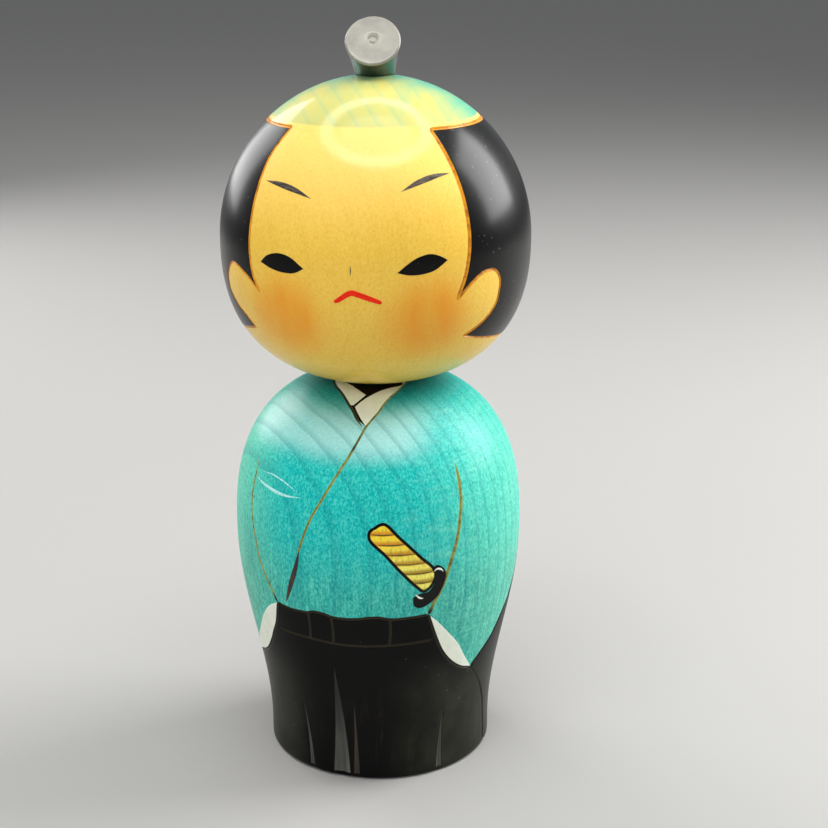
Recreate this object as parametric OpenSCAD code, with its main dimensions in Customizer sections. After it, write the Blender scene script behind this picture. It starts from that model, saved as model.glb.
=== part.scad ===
// Turned wooden kokeshi doll: a ball head that turns on a neck dowel,
// a bellied body on a flat foot, and a tapered topknot peg in the crown.
// Millimetres. Z is up, the doll stands on Z = 0 and faces -Y.

/* [Body] */
// Diameter of the body at its widest
body_d = 59.4; // [54:0.2:64]
// Height of the widest ring above the table
belly_z = 49.5; // [44:0.5:54]
// Diameter of the straight foot
foot_d = 46.8; // [40:0.2:52]
// Height at which the foot starts to swell into the belly
flare_z = 3.8; // [2:0.1:8]
// Height of the shoulders above the widest ring
shoulder_h = 32.6; // [30:0.1:36]
// Fullness of the shoulders, where 2 is an ellipse and more is squarer
shoulder_fullness = 2.5; // [2:0.05:3]
// Rounding of the foot's lower edge
foot_edge_r = 0.8; // [0.4:0.1:1.6]

/* [Head] */
// Diameter of the head
head_d = 62; // [56:0.5:68]
// Height of the crown above the widest ring of the head
crown_h = 31.5; // [28:0.1:35]
// Height of the widest ring of the head above its chin
chin_h = 29.2; // [26:0.1:32]
// Fullness of the cheeks and chin, where 2 is an ellipse and more is squarer
cheek_fullness = 2.45; // [2:0.05:3]

/* [Neck] */
// Depth of the dished seat that the chin sits in, below the shoulders' own top
seat_depth = 1.3; // [0.8:0.1:2.5]
// Gap between the chin and the dished seat
seat_gap = 0.35; // [0.3:0.05:0.6]
// Diameter of the neck dowel
dowel_d = 12; // [8:0.5:14]
// Depth of the dowel's bore in the body
body_bore_l = 24; // [16:0.5:30]
// Depth of the dowel's bore in the head
head_bore_l = 21; // [14:0.5:26]
// Room left beyond each end of the dowel
dowel_end_gap = 0.8; // [0.4:0.1:2]
// Radial clearance on which the head turns
swivel_gap = 0.05; // [0.02:0.01:0.1]
// Bevel on each end of the dowel
dowel_bevel = 0.6; // [0.2:0.1:1]

/* [Topknot] */
// Diameter of the topknot's face
knot_d = 10.7; // [9:0.1:13]
// Length of the topknot from its face to its buried tip
knot_l = 30; // [26:0.5:32]
// Slope of the topknot's side towards its axis
knot_taper = 6.3; // [5:0.1:7]
// Rise of the topknot's axis above level
knot_lean = 36; // [32:1:42]
// Distance of the face's centre in front of the head's axis
knot_forward = 4.3; // [3:0.1:6]
// Height of the face's centre above the crown
knot_rise = 6.9; // [5.5:0.1:8]
// Turn of the topknot away from the body's front
knot_turn = 11; // [-30:1:30]
// Rounding of the face's rim
knot_edge_r = 0.4; // [0.2:0.1:0.8]
// Clearance between the topknot and its tapered socket
knot_gap = 0.03; // [0.02:0.01:0.05]

/* [Hidden] */

// Steps along each turned curve, and facets of each preview circle
curve_steps = 40;
$fn = 96;
// Overshoot that makes each cutter pass through the face it opens
cut = 1;

body_r = body_d / 2;
foot_r = foot_d / 2;
head_r = head_d / 2;
chin_z = belly_z + shoulder_h - seat_depth;
head_z = chin_z + chin_h;
seat_z = chin_z - seat_gap;
bore_floor_z = seat_z - body_bore_l;
dowel_low_z = bore_floor_z + dowel_end_gap;
dowel_l = chin_z + head_bore_l - dowel_end_gap - dowel_low_z;
knot_tip_d = knot_d - 2 * knot_l * tan(knot_taper);
crown_z = head_z + crown_h;

// Radius of a rounded form of radius r and height h at a fraction s of its height
function rounded_r(r, s, fullness) = r * pow(max(0, 1 - pow(s, fullness)), 1 / fullness);

// Radius of the body below its widest ring: a smooth swell up from the foot
function swell_r(z) =
    let (s = max(0, (z - flare_z) / (belly_z - flare_z)))
    foot_r + (body_r - foot_r) * (1 - cos(180 * s)) / 2;

// The parameter runs as a sine, so the points crowd where the curve is tight
function shoulder_points() = [
    for (i = [1 : curve_steps])
        let (s = sin(90 * i / curve_steps))
        [rounded_r(body_r, s, shoulder_fullness), belly_z + shoulder_h * s]
];

function swell_points() = [
    for (i = [0 : curve_steps])
        let (z = foot_edge_r + (belly_z - foot_edge_r) * i / curve_steps)
        [swell_r(z), z]
];

function foot_edge_points() = [
    for (a = [-90 : 15 : -15])
        [foot_r - foot_edge_r + foot_edge_r * cos(a), foot_edge_r + foot_edge_r * sin(a)]
];

function crown_points() = [
    for (i = [0 : curve_steps])
        let (s = sin(90 * i / curve_steps))
        [rounded_r(head_r, s, 2), head_z + crown_h * s]
];

function chin_points() = [
    for (i = [-curve_steps : -1])
        let (s = sin(-90 * i / curve_steps))
        [rounded_r(head_r, s, cheek_fullness), head_z - chin_h * s]
];

module head_outline() {
    polygon(concat(chin_points(), crown_points()));
}

module body_outline() {
    difference() {
        polygon(concat([[0, 0]], foot_edge_points(), swell_points(), shoulder_points()));
        translate([0, -seat_gap]) head_outline();
    }
}

// Places what stands on the XY plane along the topknot's axis, from its face inwards
module on_knot_axis() {
    rotate([0, 0, knot_turn])
        translate([0, -knot_forward, crown_z + knot_rise])
            rotate([-90 - knot_lean, 0, 0])
                children();
}

// Bellied body, turned in one piece, with a dished seat and a dowel bore in its top
module body() {
    color("teal")
        difference() {
            rotate_extrude() body_outline();
            translate([0, 0, bore_floor_z])
                cylinder(d = dowel_d, h = body_bore_l + cut);
        }
}

// Hardwood dowel, pressed into the body, on which the head turns
module neck_dowel() {
    color("burlywood")
        translate([0, 0, dowel_low_z])
            rotate_extrude()
                polygon([
                    [0, 0],
                    [dowel_d / 2 - dowel_bevel, 0],
                    [dowel_d / 2, dowel_bevel],
                    [dowel_d / 2, dowel_l - dowel_bevel],
                    [dowel_d / 2 - dowel_bevel, dowel_l],
                    [0, dowel_l]
                ]);
}

// Ball head with a blind bore under the chin and a tapered socket in the crown
module head() {
    color("khaki")
        difference() {
            rotate_extrude() head_outline();
            translate([0, 0, chin_z - cut])
                cylinder(d = dowel_d + 2 * swivel_gap, h = head_bore_l + cut);
            on_knot_axis()
                cylinder(
                    d1 = knot_d + 2 * knot_gap,
                    d2 = knot_tip_d + 2 * knot_gap,
                    h = knot_l + dowel_end_gap
                );
        }
}

// Tapered peg driven into the crown, with a rounded rim round its face
module topknot() {
    color("black")
        on_knot_axis()
            rotate_extrude()
                polygon(concat(
                    [for (a = [-90 : 15 : 0])
                        [knot_d / 2 - knot_edge_r + knot_edge_r * cos(a),
                         knot_edge_r + knot_edge_r * sin(a)]],
                    [[knot_tip_d / 2, knot_l], [0, knot_l], [0, 0]]
                ));
}

body();
neck_dowel();
head();
topknot();
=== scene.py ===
import math

import bpy
import numpy as np
from mathutils import Euler, Matrix, Vector, kdtree
from mathutils.geometry import delaunay_2d_cdt


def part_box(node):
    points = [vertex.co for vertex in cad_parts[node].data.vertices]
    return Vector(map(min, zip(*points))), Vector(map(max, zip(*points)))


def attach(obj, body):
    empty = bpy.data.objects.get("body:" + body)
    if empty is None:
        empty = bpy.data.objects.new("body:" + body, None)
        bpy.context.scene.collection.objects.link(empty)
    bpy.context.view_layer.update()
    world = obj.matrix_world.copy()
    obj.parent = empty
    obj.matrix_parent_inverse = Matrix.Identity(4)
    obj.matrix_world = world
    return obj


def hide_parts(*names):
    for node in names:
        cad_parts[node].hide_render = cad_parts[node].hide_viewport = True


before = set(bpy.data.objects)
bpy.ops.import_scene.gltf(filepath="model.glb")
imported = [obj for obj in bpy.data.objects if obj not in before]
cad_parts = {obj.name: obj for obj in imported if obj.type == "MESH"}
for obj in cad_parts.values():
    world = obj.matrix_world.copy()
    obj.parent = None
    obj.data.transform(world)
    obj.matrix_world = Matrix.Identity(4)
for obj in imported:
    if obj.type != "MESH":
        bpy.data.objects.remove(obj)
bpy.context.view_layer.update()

# Body block. One billet of pale close-grained wood, turned with a straight foot, a full belly and
# round shoulders, and bored for the neck dowel. The dress is cut in with a gouge, and the wood is
# dyed and varnished. Lengths are in millimetres, and left and right are as seen from the front.

MM = 0.001
head_low, head_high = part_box("head")
body_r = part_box("body")[1].x / MM
dowel_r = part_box("neck_dowel")[1].x / MM
head_r = head_high.x / MM
crown_z = head_high.z / MM
chin_z = head_low.z / MM

belly_z = 49.5
foot_r = 23.4
flare_z = 3.8
foot_edge_r = 0.8
shoulder_h = 32.6
shoulder_fullness = 2.5
crown_h = 31.5
cheek_fullness = 2.45
head_z = crown_z - crown_h
chin_h = head_z - chin_z
seat_gap = 0.35
bore_floor_z = 56.45


def fullness(share, power):
    """How wide a rounded form still is, at a share of the way to its end."""
    return np.clip(1 - share ** power, 0, None) ** (1 / power)


class Turned:
    """A turned surface. A place on it is an angle round from the front and a reach down from the top."""

    def __init__(self, radius, height, body):
        self.radius = radius
        self.height = height
        self.body = body
        step = np.hypot(np.diff(radius), np.diff(height))
        self.reach = np.concatenate([[0.0], np.cumsum(step)]) + radius[0]
        self.out_r = -np.gradient(height, self.reach)
        self.out_z = np.gradient(radius, self.reach)
        self.top = int(np.argmax(height))
        self.hollow = None
        narrowest = 0.5
        growth = 1 / np.maximum((radius[1:] + radius[:-1]) / 2, narrowest) * step
        self.spread = np.exp(np.concatenate([[0.0], np.cumsum(growth)]))

    def reach_at(self, height):
        """The reach of a height on the outside."""
        return np.interp(-np.asarray(height, float), -self.height[self.top:], self.reach[self.top:])

    def reach_on_top(self, radius):
        """The reach of a radius on the top, between the opening's rim and the widest ring."""
        widest = int(np.argmax(self.radius))
        return np.interp(radius, self.radius[self.top:widest], self.reach[self.top:widest])

    def lay_flat(self, angle, reach):
        """The surface spread out flat round its top, with every small shape kept true and no seam."""
        far = np.interp(reach, self.reach, self.spread)
        return np.stack([far * np.sin(angle), -far * np.cos(angle)], -1)

    def take_up(self, flat):
        """The way back from the flat spread to angles and reaches."""
        far = np.hypot(flat[..., 0], flat[..., 1])
        return np.arctan2(flat[..., 0], -flat[..., 1]), np.interp(far, self.spread, self.reach)

    def place(self, angle, reach):
        radius = np.interp(reach, self.reach, self.radius)
        height = np.interp(reach, self.reach, self.height)
        return np.stack([radius * np.sin(angle), -radius * np.cos(angle), height], -1)

    def facing(self, angle, reach):
        out_r = np.interp(reach, self.reach, self.out_r)
        out_z = np.interp(reach, self.reach, self.out_z)
        size = np.hypot(out_r, out_z)
        return np.stack([out_r * np.sin(angle), -out_r * np.cos(angle), out_z], -1) / size[..., None]

    def pared(self, angle, reach):
        """The place after the broad hollows have been pared away."""
        place = self.place(angle, reach)
        if self.hollow is None:
            return place
        return place - self.facing(angle, reach) * self.hollow(angle, reach)[..., None]

    def pared_facing(self, angle, reach):
        if self.hollow is None:
            return self.facing(angle, reach)
        small = 0.04
        turn = small / np.maximum(np.interp(reach, self.reach, self.radius), 1.0)
        sideways = self.pared(angle + turn, reach) - self.pared(angle - turn, reach)
        upwards = self.pared(angle, reach - small) - self.pared(angle, reach + small)
        found = np.cross(sideways, upwards)
        return found / np.linalg.norm(found, axis=-1, keepdims=True)


def moved_aside(form, angle, reach, aside, closed):
    """A line moved sideways over the surface, by one distance or by one for each of its steps."""
    wide = np.maximum(np.interp(reach, form.reach, form.radius), 0.5)
    if closed:
        round_way = np.sin(np.roll(angle, -1) - np.roll(angle, 1)) * wide
        down_way = np.roll(reach, -1) - np.roll(reach, 1)
    else:
        round_way = np.gradient(angle) * wide
        down_way = np.gradient(reach)
    size = np.maximum(np.hypot(round_way, down_way), 1e-9)
    return angle - aside * down_way / size / wide, reach + aside * round_way / size


class Line:
    """A smooth line over a turned surface, through (degrees, radius) on top and (degrees, height) below."""

    def __init__(self, form, top=(), side=(), closed=False, straight=False, step=0.35):
        knots = [(math.radians(a), float(form.reach_on_top(r))) for a, r in top]
        knots += [(math.radians(a), float(form.reach_at(z))) for a, z in side]
        self.form = form
        self.closed = closed
        knots = np.array(knots)
        wide = np.array([np.interp(knots[:, 1].mean(), form.reach, form.radius), 1.0])
        walk = knots * wide
        if closed:
            walk = np.vstack([walk, walk[:1]])
        if not straight:
            walk = self.bent_through(walk)
        walk = walk / wide
        self.angle, self.reach = self.even(walk, step)

    def bent_through(self, knots):
        """Eases the line through its knots without overshooting them."""
        if self.closed:
            knots = np.vstack([knots[-2:-1], knots, knots[1:2]])
        else:
            knots = np.vstack([2 * knots[0] - knots[1], knots, 2 * knots[-1] - knots[-2]])
        walk = []
        for a, b, c, d in zip(knots[:-3], knots[1:-2], knots[2:-1], knots[3:]):
            before = max(np.linalg.norm(b - a), 1e-6) ** 0.5
            here = max(np.linalg.norm(c - b), 1e-6) ** 0.5
            after = max(np.linalg.norm(d - c), 1e-6) ** 0.5
            leave = ((b - a) / before - (c - a) / (before + here) + (c - b) / here) * here
            arrive = ((c - b) / here - (d - b) / (here + after) + (d - c) / after) * here
            t = np.linspace(0, 1, 20, endpoint=False)[:, None]
            walk.append(
                (2 * t ** 3 - 3 * t ** 2 + 1) * b
                + (t ** 3 - 2 * t ** 2 + t) * leave
                + (3 * t ** 2 - 2 * t ** 3) * c
                + (t ** 3 - t ** 2) * arrive
            )
        return np.vstack(walk + [knots[-2:-1]])

    def even(self, walk, step):
        places = self.form.place(walk[:, 0], walk[:, 1])
        along = np.concatenate([[0.0], np.cumsum(np.linalg.norm(np.diff(places, axis=0), axis=1))])
        self.length = along[-1]
        count = max(3, int(round(self.length / step)) + 1)
        self.along = np.linspace(0, self.length, count)
        if self.closed:
            self.along = self.along[:-1]
        return np.interp(self.along, along, walk[:, 0]), np.interp(self.along, along, walk[:, 1])

    def row(self, aside=0.0):
        return moved_aside(self.form, self.angle, self.reach, aside, self.closed)


def stroke(line, width, swell=1.0):
    """The outline of a brush stroke along a line, which swells in the middle."""
    tip = 0.02
    share = line.along / line.length
    half = np.maximum(width / 2 * np.sin(math.pi * share) ** swell, tip)
    one, other = line.row(half), line.row(-half)
    return np.concatenate([one[0], other[0][::-1]]), np.concatenate([one[1], other[1][::-1]])


def joined(*lines):
    """One closed outline from lines laid end to end. A line in a list is walked backwards."""
    rows = []
    for line in lines:
        if isinstance(line, list):
            rows.append((line[0].angle[::-1], line[0].reach[::-1]))
        else:
            rows.append((line.angle, line.reach))
    angle = np.concatenate([row[0] for row in rows])
    reach = np.concatenate([row[1] for row in rows])
    usual_r, least_step = 20, 0.02
    apart = np.hypot(np.diff(angle) * usual_r, np.diff(reach)) > least_step
    kept = np.concatenate([[True], apart])
    return angle[kept], reach[kept]


class Groove:
    """One pass of the gouge along a line, which sinks in and lifts out again at open ends."""

    def __init__(self, line, width=0.6, depth=0.26, sink_in=0.5, lift_out=0.5):
        self.line = line
        self.depth = depth
        self.full = width / 2
        into = np.clip(line.along / sink_in, 0, 1) if sink_in else 1.0
        out_of = np.clip((line.length - line.along) / lift_out, 0, 1) if lift_out else 1.0
        ease = np.ones(len(line.along)) if line.closed else np.sqrt(into * out_of)
        thinnest = 0.05
        self.half = np.maximum(self.full * ease, thinnest)


def tree_of(places):
    """Sorts places so that the nearest one to any spot is quick to find."""
    tree = kdtree.KDTree(len(places))
    for index, place in enumerate(places):
        tree.insert(place, index)
    tree.balance()
    return tree


def off_spine(place, spine, tree, groove):
    """The nearest step of a groove, and the way to a place from the groove's own line."""
    nearby = 1.6
    spot, far = tree.find(place)[1:]
    if far > groove.full * nearby:
        return spot, None
    last = len(spine) - 1
    best = place - spine[spot]
    for near in (spot - 1, spot):
        a, b = near, near + 1
        if groove.line.closed:
            a, b = near % len(spine), (near + 1) % len(spine)
        elif a < 0 or b > last:
            continue
        run = spine[b] - spine[a]
        share = np.clip((place - spine[a]) @ run / (run @ run), 0, 1)
        way = place - spine[a] - run * share
        if way @ way < best @ best:
            best = way
    return spot, best


def inside(loop, flat):
    """Which flat points lie inside a flat outline."""
    low, high = loop.min(0), loop.max(0)
    near = np.where(np.all((flat > low) & (flat < high), axis=1))[0]
    x, y = flat[near, 0], flat[near, 1]
    odd = np.zeros(len(near), bool)
    for (ax, ay), (bx, by) in zip(loop, np.roll(loop, -1, axis=0)):
        if ay != by:
            odd ^= ((ay > y) != (by > y)) & (x < (bx - ax) * (y - ay) / (by - ay) + ax)
    found = np.zeros(len(flat), bool)
    found[near] = odd
    return found


def rim_steps(radius):
    """How many corners a round rim has."""
    steps_per_mm = 7.5
    return int(steps_per_mm * radius)


class Net:
    """A net of triangles over part of a turned surface, which follows its grooves and its drawn edges."""

    groove_rows = (-1.3, -1.0, -0.65, -0.32, 0.0, 0.32, 0.65, 1.0, 1.3)
    edge_rows = (-0.1, 0.0, 0.1)

    def __init__(self, form, grooves=(), edges=(), keep=None, spacing=0.9, creases=()):
        self.form = form
        self.grooves = grooves
        rows = [(crease.row(), False) for crease in creases]
        for groove in grooves:
            for share in self.groove_rows:
                rows.append((groove.line.row(share * groove.half), groove.line.closed))
        for edge in edges:
            for aside in self.edge_rows:
                rows.append((moved_aside(form, *edge, aside, True), True))
        for reach in (form.reach[0], form.reach[-1]):
            radius = np.interp(reach, form.reach, form.radius)
            if radius > 0.5:
                turn = np.linspace(-math.pi, math.pi, rim_steps(radius), endpoint=False)
                rows.append(((turn, np.full(len(turn), reach)), True))
        self.weave(rows, keep, spacing)
        self.sink()

    def weave(self, rows, keep, spacing):
        """Joins the rows and an even field of points between them into triangles."""
        form = self.form
        start, end = form.reach[0], form.reach[-1]
        flat, links, count = [], [], 0
        for (angle, reach), closed in rows:
            flat.append(form.lay_flat(angle, np.clip(reach, start, end)))
            links += [(count + i, count + i + 1) for i in range(len(angle) - 1)]
            if closed:
                links.append((count + len(angle) - 1, count))
            count += len(angle)
        flat = np.concatenate(flat)
        taken = tree_of(form.place(*form.take_up(flat)))
        field = []
        row_gap = spacing * 0.87
        for index, reach in enumerate(np.arange(start + spacing / 2, end - spacing / 2, row_gap)):
            radius = np.interp(reach, form.reach, form.radius)
            count = max(6, int(round(2 * math.pi * radius / spacing)))
            turn = (np.arange(count) + 0.5 * (index % 2)) * 2 * math.pi / count - math.pi
            field.append(form.lay_flat(turn, np.full(count, reach)))
        field = np.concatenate(field)
        if keep is not None:
            field = field[keep(field)]
        places = form.place(*form.take_up(field))
        clear = [taken.find(place)[2] > spacing * 0.5 for place in places]
        flat = np.concatenate([flat, field[np.array(clear, bool)]])
        found = delaunay_2d_cdt([Vector(place) for place in flat], links, [], 0, 1e-6, False)
        flat = np.array([tuple(point) for point in found[0]], float)
        faces = np.array([tuple(face) for face in found[2]])
        corners = flat[faces]
        across = corners[:, 1] - corners[:, 0]
        along = corners[:, 2] - corners[:, 0]
        turning = across[:, 0] * along[:, 1] - across[:, 1] * along[:, 0]
        faces[turning < 0] = faces[turning < 0][:, ::-1]
        middle = corners.mean(1)
        far = np.hypot(middle[:, 0], middle[:, 1])
        sliver = 1e-10
        good = np.abs(turning) > sliver
        if form.radius[0] > 0.5:
            good &= far > form.spread[0] * 0.9995
        if keep is not None:
            good &= keep(middle)
        self.faces, self.middle = faces[good], middle[good]
        self.angle, self.reach = form.take_up(flat)

    def sink(self):
        """Finds how deep each point lies in a groove, and how that tilts the surface."""
        bare_from, margin, just_past = 0.1, 1.5, 1.001
        form = self.form
        self.face = form.pared(self.angle, self.reach)
        self.out = form.pared_facing(self.angle, self.reach)
        deep = np.zeros(len(self.angle))
        self.cut = np.zeros(len(self.angle))
        tilt = np.zeros((len(self.angle), 3))
        self.grooved = np.zeros(len(self.middle), bool)
        points = form.place(self.angle, self.reach)
        middles = form.place(*form.take_up(self.middle))
        for groove in self.grooves:
            spine = form.place(groove.line.angle, groove.line.reach)
            tree = tree_of(spine)
            low, high = spine.min(0) - groove.full * margin, spine.max(0) + groove.full * margin
            for cloud, as_face in ((points, False), (middles, True)):
                for index in np.where(np.all((cloud > low) & (cloud < high), axis=1))[0]:
                    spot, away = off_spine(cloud[index], spine, tree, groove)
                    if away is None:
                        continue
                    across = np.linalg.norm(away)
                    share = across / groove.half[spot]
                    if share > just_past:
                        continue
                    if as_face:
                        self.grooved[index] = True
                        continue
                    bed = groove.depth * groove.half[spot] / groove.full
                    lie = 0.5 * (1 + math.cos(math.pi * min(share, 1)))
                    self.cut[index] = max(lie, self.cut[index], bare_from)
                    if bed * lie > deep[index]:
                        deep[index] = bed * lie
                        slope = bed * 0.5 * math.pi / groove.half[spot] * math.sin(math.pi * share)
                        tilt[index] = -away / max(across, 1e-6) * slope
        self.carved = self.face - self.out * deep[:, None]
        tilted = self.out + tilt
        self.carved_out = tilted / np.linalg.norm(tilted, axis=1, keepdims=True)


def put_in_scene(name, data):
    made = bpy.data.objects.new(name, data)
    bpy.context.scene.collection.objects.link(made)
    return made


def mesh_object(name, places, faces, finish):
    """A mesh in one finish, put in the scene."""
    mesh = bpy.data.meshes.new(name)
    mesh.from_pydata(places, [], faces)
    mesh.materials.append(finish.material)
    return put_in_scene(name, mesh)


class Shape:
    """Corners and faces for one mesh, with the normal that each face has at each of its corners."""

    def __init__(self):
        self.places, self.faces, self.normals, self.cut = [], [], [], []

    def add_net(self, net):
        base = len(self.places)
        used, faces = np.unique(net.faces, return_inverse=True)
        faces = faces.reshape(-1, 3)
        self.places += net.carved[used].tolist()
        self.cut += net.cut[used].tolist()
        out = net.carved_out[used]
        for face in faces:
            self.faces.append([int(index) + base for index in face])
            self.normals += [out[index] for index in face]

    def corners_at(self, places):
        """The corners that lie at these places."""
        tree = tree_of(self.places)
        found = [tree.find(place)[1] for place in places]
        return [index for index, before in zip(found, found[-1:] + found[:-1]) if index != before]

    def add_wall(self, ring, goals, normals):
        """A wall from a ring of corners to their goals. Returns the new ring."""
        base = len(self.places)
        self.places += [list(goal) for goal in goals]
        self.cut += [1.0] * len(goals)
        count = len(ring)
        for i in range(count):
            j = (i + 1) % count
            self.faces.append([ring[i], ring[j], base + j, base + i])
            self.normals += [normals[i], normals[j], normals[j], normals[i]]
        return [base + i for i in range(count)]

    def add_cap(self, ring, normal):
        """A flat face over a ring of corners."""
        self.faces.append(list(ring))
        self.normals += [normal] * len(ring)

    def make(self, name, finish, body):
        """The mesh as a piece that rides on a body, in its finish."""
        piece = mesh_object(name, (np.array(self.places) * MM).tolist(), self.faces, finish)
        mesh = piece.data
        mesh.shade_smooth()
        mesh.normals_split_custom_set([tuple(normal) for normal in self.normals])
        mesh.attributes.new("cut", "FLOAT", "POINT").data.foreach_set("value", self.cut)
        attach(piece, body)
        return piece


class Finish:
    """One material, a slot name kept with it, and the nodes that make it."""

    def __init__(self, name, slot=None):
        self.slot = slot
        self.material = bpy.data.materials.new(name)
        self.material.use_nodes = True
        self.tree = self.material.node_tree
        self.tree.nodes.clear()

    def node(self, kind, settings=None, sockets=None, out=0):
        """A node with its settings made first, then its sockets' values and links."""
        made = self.tree.nodes.new("ShaderNode" + kind)
        for name, value in (settings or {}).items():
            setattr(made, name, value)
        for name, value in (sockets or {}).items():
            if isinstance(value, Wire):
                self.tree.links.new(value.socket, made.inputs[name])
            else:
                made.inputs[name].default_value = value
        return Wire(self, made.outputs[out]) if len(made.outputs) else None

    def blend(self, share, first, second):
        """A colour part of the way from one to another."""
        return self.node("Mix", {"data_type": "RGBA"}, {0: share, 6: first, 7: second}, 2)

    def place(self):
        """Where a point is on the object, in metres."""
        return self.node("TexCoord", None, None, 3)

    def lengths(self):
        """How far a point is to the right, to the back, and up, in metres."""
        place = self.place()
        return [self.node("SeparateXYZ", None, {0: place}, axis) for axis in range(3)]

    def mottle(self, scale, detail=2.0, roughness=0.5, stretch=None):
        """Soft cloudy variation between 0 and 1. Patches are about 1 / scale metres wide, or drawn out."""
        place = self.place()
        if stretch:
            place = self.node("VectorMath", {"operation": "MULTIPLY"}, {0: place, 1: stretch}, 0)
        sockets = {"Vector": place, "Scale": scale, "Detail": detail, "Roughness": roughness}
        return self.node("TexNoise", None, sockets, 0)

    def far_from(self, spot):
        """How far a point is from one spot, in metres."""
        return self.node("VectorMath", {"operation": "DISTANCE"}, {0: self.place(), 1: spot}, 1)

    def layered(self, colour, *layers):
        """A colour with further ones laid over it, each with the share that it covers."""
        for share, over in layers:
            colour = self.blend(share, colour, over)
        return colour

    def relief(self, height, strength, distance):
        """A surface that bulges with a height."""
        return self.node("Bump", None, {"Height": height, "Strength": strength, "Distance": distance})

    def growth_rings(self, pith, spacing):
        """How near a point is to the dark edge of its growth ring, round a pith that runs up the billet."""
        sway_size = 0.0035
        sway = self.mottle(40.0, 2.0, 0.5, (1.0, 1.0, 0.5))
        x, y = self.lengths()[:2]
        off_x, off_y = x - pith[0], y - pith[1]
        far = (off_x * off_x + off_y * off_y) ** 0.5 + sway * sway_size
        share = (far / spacing).fraction()
        return share.above(0.6, 0.94) * (1 - share.above(0.95, 1.0))

    def bare_cut(self):
        """Where the gouge has gone through the dye to bare wood."""
        return self.node("Attribute", {"attribute_name": "cut"}, None, 2).above(0.03, 0.08)

    def surface(self, sockets):
        shader = self.node("BsdfPrincipled", None, sockets)
        self.node("OutputMaterial", None, {"Surface": shader})


class Wire:
    """A socket's value in shader sums. Each sum on it adds a Math node."""

    def __init__(self, finish, socket):
        self.finish = finish
        self.socket = socket

    def sum(self, operation, *values, clamp=False):
        return self.finish.node(
            "Math", {"operation": operation, "use_clamp": clamp}, dict(enumerate(values))
        )

    def __add__(self, other):
        return self.sum("ADD", self, other)

    def __radd__(self, other):
        return self.sum("ADD", other, self)

    def __sub__(self, other):
        return self.sum("SUBTRACT", self, other)

    def __rsub__(self, other):
        return self.sum("SUBTRACT", other, self)

    def __mul__(self, other):
        return self.sum("MULTIPLY", self, other)

    def __rmul__(self, other):
        return self.sum("MULTIPLY", other, self)

    def __truediv__(self, other):
        return self.sum("DIVIDE", self, other)

    def __pow__(self, other):
        return self.sum("POWER", self, other)

    def above(self, low, high):
        """0 below low, 1 above high, and an even slope between."""
        return self.finish.node(
            "MapRange", {"interpolation_type": "SMOOTHSTEP"},
            {"Value": self, "From Min": low, "From Max": high},
        )

    def held(self):
        """Kept between 0 and 1."""
        return self.sum("ADD", self, 0.0, clamp=True)

    def over(self, middle, slope):
        """How far it is above a middle value, times a slope, kept between 0 and 1."""
        return ((self - middle) * slope).held()

    def under(self, middle, slope):
        return ((middle - self) * slope).held()

    def fraction(self):
        return self.sum("FRACT", self)

    def size(self):
        return self.sum("ABSOLUTE", self)

    def wave(self):
        return self.sum("SINE", self)


def rgb(red, green, blue):
    """A colour on the 0 to 255 scale, for a shader socket."""
    scaled = [channel / 255 for channel in (red, green, blue)]
    linear = [c / 12.92 if c <= 0.04045 else ((c + 0.055) / 1.055) ** 2.4 for c in scaled]
    return (*linear, 1.0)


def body_outline():
    """From the bore's mouth over the seat's rim, down the shoulders and the swell, to the foot's edge."""
    top_r = np.linspace(dowel_r, 20.0, 220)
    seat = head_z - seat_gap - chin_h * fullness(top_r / head_r, cheek_fullness)
    shoulder = belly_z + shoulder_h * fullness(top_r / body_r, shoulder_fullness)
    soft = 0.12
    top_z = -soft * np.logaddexp(-seat / soft, -shoulder / soft)
    turn = np.linspace(math.asin((shoulder[-1] - belly_z) / shoulder_h), 0, 160)[1:]
    rise = np.sin(turn)
    swell_z = np.linspace(belly_z, foot_edge_r, 170)[1:]
    share = np.clip((swell_z - flare_z) / (belly_z - flare_z), 0, 1)
    swell_r = foot_r + (body_r - foot_r) * (1 - np.cos(math.pi * share)) / 2
    edge = np.linspace(0, math.pi / 2, 14)[1:]
    radius = [top_r, body_r * fullness(rise, shoulder_fullness), swell_r]
    radius.append(foot_r - foot_edge_r * (1 - np.cos(edge)))
    height = [top_z, belly_z + shoulder_h * rise, swell_z, foot_edge_r * (1 - np.sin(edge))]
    return np.concatenate(radius), np.concatenate(height)


body_form = Turned(*body_outline(), "body")

# each pleat's point, its two corners at the foot, and its depth
pleats = [
    ((-6.3, 26.7), -10.3, -1.4, 0.6),
    ((-26.5, 16.6), -24.6, -21.6, 0.35),
    ((46.1, 15.5), 43.2, 46.2, 0.35),
    ((1.6, 18.0), 0.4, 3.4, 0.2),
    ((150, 30), 146, 154, 0.6),
    ((185, 30), 181, 189, 0.6),
    ((220, 30), 216, 224, 0.6),
]


def pared_pleats(angle, reach):
    """Depth of the shallow V cuts that stand for the hakama's pleats, widening from a point to the foot."""
    degrees = np.degrees(angle)
    height = np.interp(reach, body_form.reach, body_form.height)
    depth = np.zeros(np.shape(degrees))
    for (point, top), left, right, deepest in pleats:
        down = np.clip((top - height) / top, 0, 1)
        middle = point + ((left + right) / 2 - point) * down
        half = np.maximum((right - left) / 2 * down, 1e-3)
        off = np.abs((degrees - middle + 180) % 360 - 180) / half
        depth = np.maximum(depth, deepest * down * np.clip(1 - off, 0, 1))
    return depth * np.clip(height / 2.5, 0, 1) ** 0.5


def body_line(side=(), top=(), **more):
    return Line(body_form, top, side, **more)


body_form.hollow = pared_pleats
foot_line_z = 0.9
creases = []
for (point, top), left, right, deepest in pleats:
    for foot in (left, (left + right) / 2, right):
        creases.append(body_line([(point, top), (foot, foot_line_z)], straight=True))

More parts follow.
